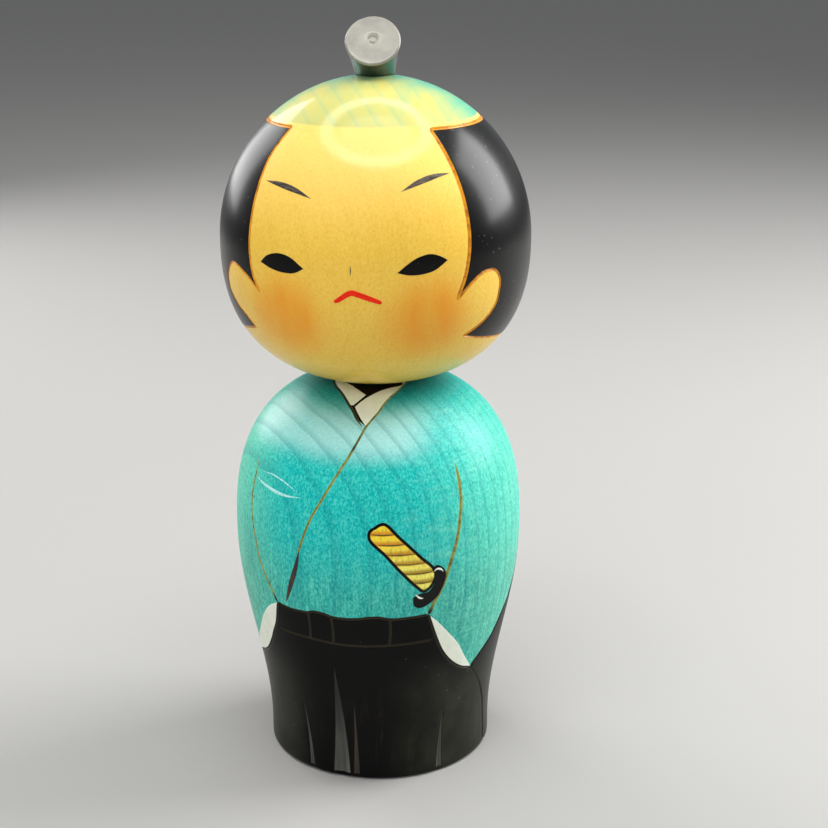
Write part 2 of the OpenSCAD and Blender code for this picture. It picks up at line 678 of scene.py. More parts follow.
lapel_cut = body_line(
    top=[(47, 10.2), (41, 11), (26, 13.8), (19.5, 15.7), (14.3, 18), (10.3, 19.6), (7.6, 20.8)],
    side=[(5.2, 74.3), (1.4, 71.5), (-4, 67.3), (-8.3, 63.4), (-13.2, 58.8), (-16.4, 54.5), (-18.6, 51)],
)
left_collar_cut = body_line(
    top=[(-48, 9.8), (-34, 11.4), (-18.8, 13.3), (-11.6, 14.8), (-6.2, 16.3), (-1.7, 17.7), (1.9, 19.3),
         (5.4, 20.6)],
)
left_sleeve_cut = body_line(
    [(-48, 67.6), (-46.7, 64.8), (-46.6, 60.8), (-45.8, 56.7), (-43, 51.9), (-39.8, 47), (-34.5, 42.3),
     (-30.9, 39)]
)
right_sleeve_cut = body_line(
    [(49, 68.7), (49, 65.6), (48.4, 61.8), (47, 58), (44.7, 53.1), (42, 49.2), (39.2, 45.1), (35.7, 41.5),
     (33.6, 39)]
)
belt_top = body_line(
    [(-31, 39), (-25, 38.6), (-18, 38.7), (-15.5, 38.8), (-13, 39.25), (-8, 39.15), (-5.3, 38.75),
     (0, 38.6), (6, 38.8), (10, 39.15), (14, 39.2), (18, 38.75), (26, 38.8), (33.5, 39)]
)
belt_bottom = body_line([(-34, 32.6), (-15, 32.7), (0, 32.4), (18, 32.6), (37, 32.9)])
belt_folds = [
    body_line([(-15.5, 38.9), (-15.2, 36), (-15.8, 32.7)]),
    body_line([(-5.3, 38.9), (-5.0, 35.5), (-5.4, 32.5)]),
    body_line([(18, 38.8), (18.4, 36), (18, 32.6)]),
]
left_hem = body_line([(-30.9, 39), (-36.6, 37.4), (-43.3, 34.2), (-50.7, 29.9), (-65.8, 23.1)])
left_panel = body_line([(-30.9, 39), (-34, 34), (-37, 31.5), (-42, 28), (-49.2, 24.7), (-66, 21.2)])
right_hem = body_line([(33.6, 39), (38, 36.9), (43.2, 33.9), (49.3, 30.4), (54.3, 26.7), (59, 23.8)])
right_panel = body_line(
    [(33.6, 39), (35.4, 36.4), (38.4, 32.6), (42, 29.2), (47.7, 26), (54, 23.9), (60.2, 22.8)]
)
right_slit = body_line([(60.2, 22.8), (66, 20), (73.6, 15.6), (80, 10.5), (83, 5), (84, foot_line_z)])
left_slit = body_line([(-66, 21.2), (-71, 18.5), (-77, 14), (-82, 9), (-84, 5), (-85, foot_line_z)])
right_back_hem = body_line(
    [(60.2, 23.2), (66, 25.4), (73.1, 28), (79.5, 31.5), (87, 35.2), (93, 39), (103, 43.5), (112, 45)]
)
left_back_hem = body_line(
    [(-66, 22.6), (-73, 25.4), (-80, 29), (-86, 32.6), (-93, 37), (-103, 42.5), (-112, 45)]
)
back_board = body_line(
    [(112, 45), (135, 46.2), (152, 47), (158, 51.6), (180, 52.6), (202, 51.6), (208, 47), (225, 46.2),
     (248, 45)]
)
back_belt = body_line(
    [(103, 38.5), (125, 39.2), (150, 39.6), (180, 39.8), (210, 39.6), (235, 39.2), (257, 38.5)]
)

collar_grooves = [Groove(lapel_cut, 0.48, 0.24, 0, 1.5), Groove(left_collar_cut, 0.55, 0.25, 0, 2.0)]
sleeve_grooves = [Groove(left_sleeve_cut, 0.55, 0.24, 5.0), Groove(right_sleeve_cut, 0.72, 0.3, 3.0)]
left_panel_groove = Groove(left_panel)
right_panel_groove = Groove(right_panel)
right_hem_groove = Groove(right_back_hem)
left_hem_groove = Groove(left_back_hem)
skirt_grooves = [
    Groove(belt_top, 0.55, 0.25),
    Groove(belt_bottom, sink_in=1.0, lift_out=1.0),
    left_panel_groove,
    right_panel_groove,
    Groove(right_slit, lift_out=0),
    Groove(left_slit, lift_out=0),
    right_hem_groove,
    left_hem_groove,
    Groove(back_board),
    Groove(back_belt, sink_in=1.5, lift_out=1.5),
]
skirt_grooves += [Groove(line, 0.55, 0.25, 0.3, 0.3) for line in belt_folds]

body_net = Net(body_form, collar_grooves + sleeve_grooves + skirt_grooves, creases=creases)
body_shape = Shape()
body_shape.add_net(body_net)
up = np.array([0.0, 0.0, 1.0])


def circle(radius, height, steps):
    """Places round a level ring."""
    turn = np.linspace(-math.pi, math.pi, steps, endpoint=False)
    return np.stack([radius * np.sin(turn), -radius * np.cos(turn), np.full(steps, height)], -1)


def bore(shape, mouth_z, radius, end_z, facing):
    """A straight round hole with a flat end, sunk from a level mouth."""
    mouth = shape.corners_at(circle(radius, mouth_z, rim_steps(radius)))
    spots = [shape.places[index] for index in mouth]
    wall_out = [-np.array([*spot[:2], 0.0]) / radius for spot in spots]
    end = [[*spot[:2], end_z] for spot in spots]
    shape.add_cap(shape.add_wall(mouth, end, wall_out), facing)


sole_r = foot_r - foot_edge_r
sole = body_shape.corners_at(circle(sole_r, 0.0, rim_steps(sole_r)))
body_shape.add_cap(sole[::-1], -up)
bore(body_shape, body_form.height[0], dowel_r, bore_floor_z, up)

dyed = Finish("dyed_kimono_wood", "kimono_wood")
x, y, z = dyed.lengths()
rings = dyed.growth_rings((0.034, 0.030), 0.0031)
pores = dyed.mottle(2700.0, 3.0, 0.75, (1.0, 1.0, 0.5))
fibres = dyed.mottle(1300.0, 3.0, 0.65, (1.0, 1.0, 0.07))
clouds = dyed.mottle(60.0, 3.0)
curl = dyed.mottle(420.0, 2.0, 0.5, (0.5, 0.5, 2.2))
# painted reflection: the dye is made paler towards the left and right sides
side_sheen = (x - 0.002).size().above(0.011, 0.027)
low_down = 1 - z.above(0.04, 0.056)
# painted shade: the dye is made darker at the neck, under the head
neck_shade = z.above(0.0768, 0.0812)
# the share of paler mint: random tone in the dye, painted reflection at the sides, more of it lower down,
# and less where painted shade falls at the neck
tone_and_painted_light = (side_sheen * 0.7 + low_down * 0.3 + (clouds - 0.5) * 0.5 - neck_shade * 0.5).held()
# a paler band over the front of the shoulders, which stands in for part of a lamp's sheen
on_shoulder = z.above(0.0685, 0.0735) * (1 - z.above(0.0765, 0.0802)) * (1 - y.above(-0.014, -0.002))
on_shoulder = on_shoulder * (1 - x.above(0.009, 0.019))
# the dye with its grain, darker and greener lower down, with a painted highlight over the shoulders and
# painted shade at the neck
dye_and_painted_light = dyed.layered(
    dyed.blend(tone_and_painted_light, rgb(0, 196, 190), rgb(104, 216, 180)),
    (low_down * 0.35, rgb(20, 150, 136)),
    (fibres.over(0.5, 5) * (0.16 + low_down * 0.42), rgb(120, 226, 204)),
    (fibres.under(0.5, 5) * (0.14 + low_down * 0.3), rgb(0, 124, 130)),
    (pores.over(0.5, 7) * 0.5, rgb(0, 112, 118)),
    (pores.under(0.5, 7) * 0.36, rgb(140, 240, 220)),
    (on_shoulder * clouds.above(0.05, 0.5) * 0.6, rgb(198, 240, 238)),
    (curl.over(0.5, 2.4) * x.above(0.006, 0.02) * 0.45, rgb(150, 232, 206)),
    (rings * 0.3, rgb(0, 132, 140)),
    (neck_shade * 0.75, rgb(0, 84, 92)),
)
worn_cut = dyed.mottle(900.0, 3.0, 0.7)
bare = dyed.blend(worn_cut.over(0.45, 4), rgb(158, 166, 92), rgb(100, 94, 40))
# painted shade: the cut along the left collar's edge is made near black
left_collar_shade = z.above(0.0712, 0.0728) * (1 - x.above(0.0005, 0.003))
stain_and_shade = dyed.layered(
    rgb(48, 44, 30), (z.above(0.0396, 0.0412), bare), (left_collar_shade * 0.9, rgb(40, 32, 18))
)
wood = dyed.blend(dyed.bare_cut(), dye_and_painted_light, stain_and_shade)
dyed.surface({
    "Base Color": dyed.blend(z.above(0.0, 0.0003), rgb(222, 190, 132), wood),
    "Roughness": 0.42 + pores * 0.2, "Coat Weight": 0.28, "Coat Roughness": 0.3, "Specular IOR Level": 0.1,
    "Normal": dyed.relief(dyed.mottle(220.0, 3.0), 0.12, 0.0006),
})

body_block = body_shape.make("body_block", dyed, "body")
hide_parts("body")


# Collars. Two bands of white paint cross at the throat, the right one over the left, with the dark of
# the neck opening above them. They are brushed on over the dye, between the gouge cuts.


def brushed(name, form, keep, finish, grooves=(), edges=(), thick=0.05, spacing=0.9, creases=()):
    """A closed coat of paint over the places that keep picks, with an edge that rounds down to the wood."""
    under, at_rim, splay = 0.04, 0.4, 0.8
    net = Net(form, grooves, edges, keep, spacing, creases)
    faces = net.faces[~net.grooved]
    used, faces = np.unique(faces, return_inverse=True)
    faces = faces.reshape(-1, 3)
    base, out = net.face[used], net.out[used]
    sides = {(a, b) for face in faces for a, b in zip(face, np.roll(face, -1))}
    border = [(a, b) for a, b in sides if (b, a) not in sides]
    outward = np.zeros((len(used), 3))
    for a, b in border:
        side = np.cross(base[b] - base[a], out[a])
        side /= max(np.linalg.norm(side), 1e-9)
        outward[a] += side
        outward[b] += side
    on_rim = np.linalg.norm(outward, axis=1) > 1e-6
    outward[on_rim] /= np.linalg.norm(outward[on_rim], axis=1, keepdims=True)
    lift = np.where(on_rim, thick * at_rim, thick)
    face_out = out + outward * splay
    face_out /= np.linalg.norm(face_out, axis=1, keepdims=True)
    count = len(used)
    shape = Shape()
    shape.places = (base + out * lift[:, None]).tolist() + (base - out * under).tolist()
    shape.cut = [0.0] * (2 * count)
    for face in faces:
        shape.faces.append([int(index) for index in face])
        shape.normals += [face_out[index] for index in face]
    for face in faces[:, ::-1]:
        shape.faces.append([int(index) + count for index in face])
        shape.normals += [-out[index] for index in face]
    for a, b in border:
        shape.faces.append([int(b), int(a), int(a) + count, int(b) + count])
        shape.normals += [outward[b], outward[a], outward[a], outward[b]]
    shape.make(name, finish, form.body)


def within(form, loop):
    """Picks the places inside an outline."""
    laid = form.lay_flat(*loop)
    return lambda flat: inside(laid, flat)


def patch(name, form, loop, finish, **more):
    """A coat of paint inside one outline."""
    brushed(name, form, within(form, loop), finish, edges=[loop], **more)


white = Finish("white_paint", "white_paint")
thick = white.mottle(500.0, 3.0)
white.surface({
    "Base Color": white.blend(thick.over(0.45, 3), rgb(242, 248, 232), rgb(228, 238, 212)),
    "Roughness": 0.38 + thick * 0.2, "Coat Weight": 0.5, "Coat Roughness": 0.2,
    "Normal": white.relief(white.mottle(1400.0, 2.0, 0.5, (1.0, 1.0, 0.3)), 0.25, 0.0001),
})

lacquer = Finish("black_lacquer", "black_lacquer")
smear = lacquer.mottle(110.0, 4.0, 0.6)
dust = lacquer.mottle(1300.0, 1.0).above(0.735, 0.78)
colour = lacquer.blend(smear.over(0.5, 3), rgb(4, 4, 4), rgb(10, 9, 9))
lacquer.surface({
    "Base Color": lacquer.blend(dust * 0.35, colour, rgb(130, 128, 120)), "Roughness": 0.26 + smear * 0.14,
    "Coat Weight": 0.3, "Coat Roughness": 0.2, "Specular IOR Level": 0.08,
    "Normal": lacquer.relief(smear, 0.12, 0.0005),
})

left_collar_right = body_line(
    top=[(-24, 9.9), (-12.6, 10.8), (-3.7, 12), (4.4, 13.4)], straight=True
)
left_collar_under = body_line(top=[(4.4, 13.4), (1.3, 14.7), (-2.6, 16.4), (-6.2, 16.5)], straight=True)
left_collar_out = body_line(
    top=[(-48, 9.6), (-34, 11.4), (-18.8, 13.3), (-11.6, 14.8), (-6.2, 16.5)]
)
left_collar_top = body_line(top=[(-48, 9.6), (-36, 9.7), (-24, 9.9)])
left_collar = joined(left_collar_out, [left_collar_under], [left_collar_right], [left_collar_top])

right_collar_upper = body_line(
    top=[(46, 9.6), (41.8, 10.6), (27.1, 11.2), (16.6, 12.1), (7.9, 13.7), (2.5, 15.2), (-1.2, 16.8)]
)
right_collar_left = body_line(top=[(-1.2, 16.8), (3.7, 19.0), (7.6, 20.6)])
right_collar_out = body_line(
    top=[(50, 9.6), (41, 11), (26, 13.8), (19.5, 15.7), (14.3, 18), (10.3, 19.6), (7.6, 20.6)]
)
right_collar_top = body_line(top=[(46, 9.6), (50, 9.6)])
right_collar = joined(right_collar_upper, right_collar_left, [right_collar_out], [right_collar_top])

throat_left = body_line(top=[(-6.2, 16.5), (-1.7, 17.7), (1.9, 19.2), (7.0, 20.5)])
throat_top = body_line(top=[(46, 9.6), (12, 9.6), (-24, 9.9)])
throat = joined(
    left_collar_right, left_collar_under, throat_left, [right_collar_left], [right_collar_upper], throat_top
)
for name, band, finish in (
    ("collar_left", left_collar, white), ("collar_right", right_collar, white), ("throat", throat, lacquer)
):
    patch(name, body_form, band, finish, grooves=collar_grooves, spacing=0.5)

# Hakama. Black lacquer covers the skirt from the waistband down, and rises at the back to a stiff
# board. The gouge cuts are kept clear of it, so that they show as bare wood. The shallow V cuts of the
# pleats are given a greyer coat, partly a thinner lacquer and partly a painted reflection, and the
# skirt's lower sides carry a painted reflection too.

skirt_black = Finish("hakama_lacquer", "black_lacquer")
x, y, z = skirt_black.lengths()
streak = skirt_black.mottle(420.0, 3.0, 0.6, (1.0, 1.0, 0.035))
rubbed = skirt_black.mottle(90.0, 4.0, 0.6)
low_down = 1 - z.above(0.004, 0.026)
worn = streak.over(0.52, 4.5) * low_down * rubbed.above(0.4, 0.65)
dust = skirt_black.mottle(1500.0, 1.0).above(0.75, 0.79) * rubbed.above(0.5, 0.7)
# painted reflection: the lower sides of the skirt are made a mottled grey-green
skirt_side_sheen = x.size().above(0.005, 0.019) * (1 - z.above(0.018, 0.031))
skirt_black.surface({
    "Base Color": skirt_black.layered(
        rgb(3, 3, 3),
        (worn * 0.55, rgb(66, 60, 42)),
        (skirt_side_sheen * (0.4 + rubbed.over(0.42, 4) * 0.6) * 0.8, rgb(52, 54, 44)),
        (dust * 0.4, rgb(150, 148, 140)),
    ),
    "Roughness": 0.3 + rubbed * 0.16, "Coat Weight": 0.16, "Coat Roughness": 0.22,
    "Specular IOR Level": 0.05, "Normal": skirt_black.relief(streak, 0.1, 0.0004),
})

skirt_top = joined(belt_top, right_panel, right_back_hem, back_board, [left_back_hem], [left_panel])
skirt_flat = body_form.lay_flat(*skirt_top)
brushed(
    "hakama", body_form, lambda flat: ~inside(skirt_flat, flat), skirt_black,
    grooves=skirt_grooves, edges=[skirt_top], creases=creases,
)

facet_grey_sheen = Finish("thin_lacquer_and_sheen", "black_lacquer")
streak = facet_grey_sheen.mottle(700.0, 3.0, 0.6, (1.0, 1.0, 0.05))
# painted reflection: the facets are made greyer towards the foot, partly as thinner lacquer
share = (1 - facet_grey_sheen.lengths()[2].above(0.001, 0.022)) * (0.25 + streak.over(0.35, 2.5) * 0.75)
colour = facet_grey_sheen.blend(share.held(), rgb(20, 21, 20), rgb(98, 100, 92))
facet_grey_sheen.surface({
    "Base Color": colour, "Roughness": 0.34 + streak * 0.2, "Coat Weight": 0.2, "Specular IOR Level": 0.3,
})


def patchy_paint(name, slot, clouds, turn_over, thick, thin, coat, roughness=0.4):
    """A paint that goes from one colour where it is thick to another where it is thin."""
    made = Finish(name, slot)
    dry = made.mottle(*clouds)
    colour = made.blend(dry.over(*turn_over), thick, thin)
    made.surface({"Base Color": colour, "Roughness": roughness + dry * 0.2, **coat})
    return made


brown_grey = patchy_paint(
    "brown_streak", "black_lacquer", (900.0, 3.0, 0.6, (1.0, 1.0, 0.05)), (0.42, 4),
    rgb(16, 13, 9), rgb(54, 38, 20), {"Coat Weight": 0.15}, roughness=0.36,
)
facet_foot_z = 1.2
brown_pleat = 3
for number, ((point, top), left, right, deepest) in enumerate(pleats):
    one_side = body_line([(point, top), (left, facet_foot_z)], straight=True)
    other_side = body_line([(point, top), (right, facet_foot_z)], straight=True)
    foot = [(left, facet_foot_z), ((left + right) / 2, facet_foot_z), (right, facet_foot_z)]
    facet = joined(one_side, body_line(foot, straight=True), [other_side])
    patch(
        f"pleat_{number + 1}", body_form, facet, brown_grey if number == brown_pleat else facet_grey_sheen,
        thick=0.075, spacing=0.6, creases=creases[3 * number:3 * number + 3],
    )

# Sleeve linings. White paint shows where each sleeve falls open over the hip, in a narrow leaf between
# the sleeve's hem and the hakama.

right_lining = joined(right_hem, [right_panel])
left_lining = joined(left_hem, [left_panel])
right_grooves = [right_panel_groove, right_hem_groove]
left_grooves = [left_panel_groove, left_hem_groove]
patch("lining_right", body_form, right_lining, white, grooves=right_grooves, spacing=0.6)
patch("lining_left", body_form, left_lining, white, grooves=left_grooves, spacing=0.6)

# Sword. The grip of a sword stands out of the waistband. It is brushed on in gold paint with darker
# bands for its cord, then given a dark outline and a round black guard.

gold = Finish("gold_paint", "gold_paint")
z = gold.lengths()[2]
leaf = gold.mottle(900.0, 3.0)
wrap_low_z, wrap_pitch = 0.0464, 0.0021
turn_share = ((z - wrap_low_z) / wrap_pitch).fraction()
puff_and_highlight = turn_share.above(0.08, 0.5) * (1 - turn_share.above(0.75, 1.0))
strands = gold.mottle(3000.0, 2.0, 0.5, (1.0, 1.0, 0.25))
high_up = z.above(0.0475, 0.0565)
# painted highlight and shade: each turn of the cord is pale lemon on its swell and deeper amber in its dips
light = gold.blend(high_up, rgb(255, 246, 110), rgb(255, 224, 52))
deep = gold.blend(high_up, rgb(176, 146, 10), rgb(234, 150, 0))
gold.surface({
    "Base Color": gold.layered(
        gold.blend(puff_and_highlight, deep, light),
        (strands.over(0.52, 6) * 0.45, rgb(150, 124, 8)),
        (leaf.over(0.45, 3) * 0.3, rgb(240, 184, 16)),
    ),
    "Roughness": 0.3 + leaf * 0.2, "Coat Weight": 0.4, "Specular IOR Level": 0.3,
    "Normal": gold.relief(puff_and_highlight + leaf * 0.3, 0.5, 0.0003),
})
grip_edge = body_line(
    [(10.4, 55.9), (10.4, 57.5), (12.3, 58.3), (16.1, 59.1), (22.1, 56.2), (29.7, 52.1), (36.1, 48.3),
     (34.5, 45.4), (31.3, 44.3), (28.5, 45.4), (21.9, 49.1), (16.3, 52.6)],
    closed=True, step=0.3,
)
outline_in = grip_edge.row(0.42)
outline_out = grip_edge.row(-0.2)
patch("sword_grip", body_form, outline_in, gold, spacing=0.5)
grip_in = body_form.lay_flat(*outline_in)
grip_out = body_form.lay_flat(*outline_out)
brushed(
    "sword_outline", body_form, lambda flat: inside(grip_out, flat) != inside(grip_in, flat), lacquer,
    edges=[outline_in, outline_out], spacing=0.4, thick=0.06,
)
guard_out = body_line(
    [(34.4, 49), (36.5, 49.7), (39.4, 48.8), (40.4, 47.2), (39.2, 45.1), (37.2, 43.1), (34, 41.6),
     (29.9, 40.8), (27.5, 41.5), (27, 43.3)]
)
guard_in = body_line([(34.4, 49), (36.1, 47), (35, 45.3), (33, 44.2), (29.8, 44), (27, 43.3)])
patch("sword_guard", body_form, joined(guard_out, [guard_in]), lacquer, spacing=0.4, thick=0.07)

olive = patchy_paint(
    "olive_ink", "gold_paint", (900.0, 3.0), (0.42, 3), rgb(92, 78, 10), rgb(140, 118, 18),
    {"Coat Weight": 0.4},
)
# each turn of the cord: its height, and the degrees where it starts and ends
cord_turns = [
    (56.9, 10.9, 20.4), (54.8, 13.4, 24.4), (52.7, 16.6, 28.4),
    (50.6, 20, 32.2), (48.5, 23.4, 35.4), (46.4, 27, 34.8),
]
for number, (height, left, right) in enumerate(cord_turns):
    middle = (left + right) / 2
    turn = body_line([(left, height + 0.1), (middle, height - 0.1), (right, height)], step=0.3)
    patch(f"grip_cord_{number + 1}", body_form, stroke(turn, 0.44, 0.35), olive, spacing=0.4, thick=0.075)

# painted highlights: two white strokes along the edges of the black guard
guard_highlight = [
    body_line([(35.0, 48.3), (36.6, 48.9), (38.4, 48.6), (39.3, 47.9)], step=0.25),
    body_line([(28.0, 43.9), (29.8, 43.1), (31.6, 42.9)], step=0.25),
]
for number, line in enumerate(guard_highlight):
    patch(f"guard_highlight_{number + 1}", body_form, stroke(line, 0.55), white, spacing=0.4, thick=0.09)

# Lapel slit and scuffs. A dark brushed line ends the lapel over the waistband. Two thin pale scuffs
# mark the varnish of the left sleeve; their paleness is partly bruised varnish and partly a painted
# highlight, for light caught on their edges.

slit_brown = patchy_paint(
    "slit_brown", "grey_ink", (900.0, 3.0, 0.5, (1.0, 1.0, 0.2)), (0.42, 4),
    rgb(14, 9, 6), rgb(78, 40, 8), {"Coat Weight": 0.4},
)
lapel_slit = body_line([(-17.9, 52), (-19.4, 48.7), (-22.4, 44.3), (-25.8, 39.9)], step=0.3)
patch("lapel_slit", body_form, stroke(lapel_slit, 1.15, 0.7), slit_brown, spacing=0.45)

# painted highlight: the scuffs' pale colour also stands for light caught on their edges
scuff_highlight = patchy_paint(
    "scuff_painted_highlight", "white_paint", (1600.0, 3.0), (0.45, 4), rgb(190, 244, 240), rgb(120, 214, 210),
    {"Coat Weight": 0.5},
)
scuff_highlight_low = body_line([(-46.2, 64), (-41, 63.3), (-33.6, 62.7), (-26, 62.4), (-17.6, 62.7)], step=0.3)
scuff_highlight_high = body_line([(-41.2, 65.3), (-35.5, 65.5), (-27.8, 64.9), (-20.5, 63.7)], step=0.3)
patch("scuff_highlight_low", body_form, stroke(scuff_highlight_low, 0.62), scuff_highlight, spacing=0.4, thick=0.04)
patch("scuff_highlight_high", body_form, stroke(scuff_highlight_high, 0.3), scuff_highlight, spacing=0.4, thick=0.04)

# Neck dowel. A straight hardwood pin, glued into the bore of the body. It stands up into the head's
# own bore with a little play, and the head turns on it.

pin = Finish("dowel_wood")
grain = pin.mottle(1500.0, 3.0, 0.6, (1.0, 1.0, 0.05))
pin.surface({
    "Base Color": pin.blend(grain.over(0.4, 2.5), rgb(226, 200, 154), rgb(190, 156, 104)),
    "Roughness": 0.5 + grain * 0.2, "Normal": pin.relief(grain, 0.3, 0.0002),
})
dowel_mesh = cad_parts["neck_dowel"].data
dowel_mesh.materials.clear()
dowel_mesh.materials.append(pin.material)

# Head block. A ball of the same wood, a little flattened, bored for the neck dowel and the topknot. It
# is varnished, its crown is dyed, and the edges of the hair and the ears are cut in with the gouge.

face_turn = 5
bore_r = 6.05
bore_top_z = 101.8
knot_turn, knot_forward, knot_rise, knot_lean = 11, 4.3, 6.9, 36
knot_r, knot_l, knot_taper, knot_gap = 5.35, 30.0, 6.3, 0.03
socket_depth = knot_l + 0.2


def head_outline():
    """From the crown over the cheeks to the bore's mouth in the chin."""
    over = np.linspace(0, math.pi / 2, 260)
    top_r, top_z = head_r * np.sin(over), head_z + crown_h * np.cos(over)
    end = (1 - (bore_r / head_r) ** cheek_fullness) ** (1 / cheek_fullness)
    share = np.sin(np.linspace(0, math.asin(end), 320))[1:]
    share[-1] = end
    low_r, low_z = head_r * fullness(share, cheek_fullness), head_z - chin_h * share
    return np.concatenate([top_r, low_r]), np.concatenate([top_z, low_z])


head_form = Turned(*head_outline(), "head")


def face_line(side, **more):
    """A line on the head, with its degrees counted from the middle of the face."""
    return Line(head_form, side=[(angle + face_turn, height) for angle, height in side], **more)


hair_top = face_line(
    [(38.6, 133.3), (60, 133.2), (120, 133.1), (180, 133), (240, 133.1), (300, 133.2), (320.6, 133.3)]
)
hair_front_left = face_line(
    [(-39.4, 133.3), (-42.1, 128.3), (-41.8, 122.2), (-41.5, 114.8), (-41.3, 111), (-39.8, 106.4),
     (-36.8, 103.3)]
)
hair_front_right = face_line(
    [(38.6, 133.3), (41, 129.4), (42.7, 124.6), (43.5, 118.4), (43.3, 112.9), (41.6, 107.4), (38.4, 102.7)]
)
ear_left = face_line(
    [(-36.8, 103.3), (-43.5, 106), (-53.5, 107.6), (-58.6, 105.4), (-60.2, 102.2), (-55.5, 99.1),
     (-50, 97.2), (-45.8, 95.2)]
)
ear_right = face_line(
    [(38.4, 102.7), (43.5, 105.3), (49.7, 107.3), (55.4, 107.2), (58.5, 105.3), (58.9, 102.9),
     (57.8, 100), (52.4, 97), (44.5, 94.8)]
)
hair_bottom = face_line(
    [(-45.8, 95.2), (-52.7, 94.4), (-67.4, 93), (-100, 91.2), (-140, 90.2), (-180, 90), (-220, 90.2),
     (-260, 91), (-282, 91.6), (-305, 93.5), (-315.5, 94.8)]
)
head_cuts = [
    Groove(hair_top, 0.8, 0.32),
    Groove(hair_front_left, 0.55, 0.25, lift_out=1.0),
    Groove(hair_front_right, 0.8, 0.32, lift_out=1.0),
    Groove(ear_left, 0.5, 0.22),
    Groove(ear_right, 0.6, 0.25),
    Groove(hair_bottom, 0.5, 0.2),
]

knot_place = Matrix.Rotation(math.radians(knot_turn), 4, "Z") @ Matrix.Translation(
    (0, -knot_forward, crown_z + knot_rise)
) @ Matrix.Rotation(math.radians(-90 - knot_lean), 4, "X")


def knot_width(down):
    """The topknot's radius at a distance down it from its face."""
    return knot_r - down * math.tan(math.radians(knot_taper))


def on_knot(turn, down, extra=0.0):
    """A place on the topknot's side, at a distance down it from its face."""
    wide = knot_width(down) + extra
    return np.array(knot_place @ Vector((wide * math.cos(turn), wide * math.sin(turn), down)))


crown_steps = 200
crown_curve = head_form.radius[:crown_steps], head_form.height[:crown_steps]


def knot_meets_head(turn):
    """How far down its side the topknot goes into the crown."""
    high, low = 0.0, knot_l
    halvings = 40
    for _ in range(halvings):
        middle = (high + low) / 2
        x, y, z = on_knot(turn, middle, knot_gap)
        outside = z > np.interp(math.hypot(x, y), *crown_curve)
        high, low = (middle, low) if outside else (high, middle)
    return high


socket_steps = 64
socket_turns = np.linspace(0, 2 * math.pi, socket_steps, endpoint=False)
socket_mouth = np.array([on_knot(turn, knot_meets_head(turn), knot_gap) for turn in socket_turns])
socket_x, socket_y = socket_mouth[:, 0], socket_mouth[:, 1]
socket_loop = (
    np.arctan2(socket_x, -socket_y),
    np.interp(np.hypot(socket_x, socket_y), crown_curve[0], head_form.reach[:crown_steps]),
)
socket_flat = head_form.lay_flat(*socket_loop)
head_net = Net(head_form, head_cuts, [socket_loop], lambda flat: ~inside(socket_flat, flat), 0.8)
head_shape = Shape()
head_shape.add_net(head_net)
bore(head_shape, head_form.height[-1], bore_r, bore_top_z, -up)
socket = head_shape.corners_at(socket_mouth)
socket_end = [on_knot(turn, socket_depth, knot_gap) for turn in socket_turns]
knot_frame = knot_place.to_3x3()
knot_axis = np.array(knot_frame @ Vector((0, 0, 1)))
socket_out = [knot_frame @ Vector((-math.cos(turn), -math.sin(turn), 0)) for turn in socket_turns]
head_shape.add_cap(head_shape.add_wall(socket, socket_end, socket_out), -knot_axis)


def on_face(angle, height):
    """A place on the head in metres, its degrees counted from the middle of the face."""
    turn = math.radians(angle + face_turn)
    return tuple(head_form.place(np.array(turn), head_form.reach_at(height)) * MM)


face_wood = Finish("face_wood", "face_wood")
x, y, z = face_wood.lengths()
rings = face_wood.growth_rings((0.046, 0.020), 0.0034)
flecks = face_wood.mottle(2400.0, 2.0, 0.75, (1.0, 1.0, 0.7))
clouds = face_wood.mottle(70.0, 3.0)
streaks = face_wood.mottle(260.0, 2.0, 0.5, (1.0, 0.25, 0.12))
blush = 0.0
for spot, size in ((on_face(-26, 99.2), 0.0115), (on_face(28, 99.6), 0.0118)):
    blush = (1 - face_wood.far_from(spot).above(size * 0.25, size)) + blush
skin_and_sheen = face_wood.layered(
    face_wood.blend(clouds, rgb(250, 210, 88), rgb(244, 194, 62)),
    (flecks.over(0.5, 5) * 0.34, rgb(220, 160, 36)),
    (flecks.under(0.5, 5) * 0.3, rgb(255, 226, 128)),
    (rings * 0.08, rgb(222, 164, 60)),
    # painted sheen: the upper face is made paler towards the hair
    (z.above(0.113, 0.13) * 0.4, rgb(255, 224, 140)),
    ((blush * (0.3 + streaks * 1.0)).held() * 0.85, rgb(246, 152, 0)),
)
crown = z.above(0.1337, 0.1341)
to_side = x.size().above(0.008, 0.024)
patchy = (streaks - 0.5) * 1.3 * y.above(-0.022, -0.006)
mint = (y.above(-0.011, 0.005) + to_side * 0.12 + 0.1 + patchy).held()
cap = face_wood.blend(mint, rgb(200, 194, 106), rgb(72, 178, 150))
cap = face_wood.blend(rings * 0.2, cap, rgb(60, 176, 160))
worn_cut = face_wood.mottle(700.0, 3.0, 0.7)
bare = face_wood.blend(worn_cut.over(0.45, 4), rgb(232, 160, 36), rgb(176, 106, 20))
face_wood.surface({
    "Base Color": face_wood.layered(skin_and_sheen, (crown * 0.95, cap), (face_wood.bare_cut(), bare)),
    "Roughness": 0.42 + flecks * 0.12, "Coat Weight": 0.55 - crown * to_side * 0.45,
    "Coat Roughness": 0.115, "Specular IOR Level": 0.15,
    "Normal": face_wood.relief(face_wood.mottle(200.0, 3.0), 0.1, 0.0006),
})
head_block = head_shape.make("head_block", face_wood, "head")
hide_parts("head")

# Hair. Black lacquer wraps the sides and the back of the head from the dyed crown down to the nape,
# round the ears, between gouge cuts.

hair_edge = joined(hair_top, hair_front_left, ear_left, hair_bottom, [ear_right], [hair_front_right])
patch("hair", head_form, hair_edge, lacquer, grooves=head_cuts)

# Face. Eyes, brows, nose and mouth are drawn with a fine brush: black, soft grey ink and red, each in
# one or two strokes.

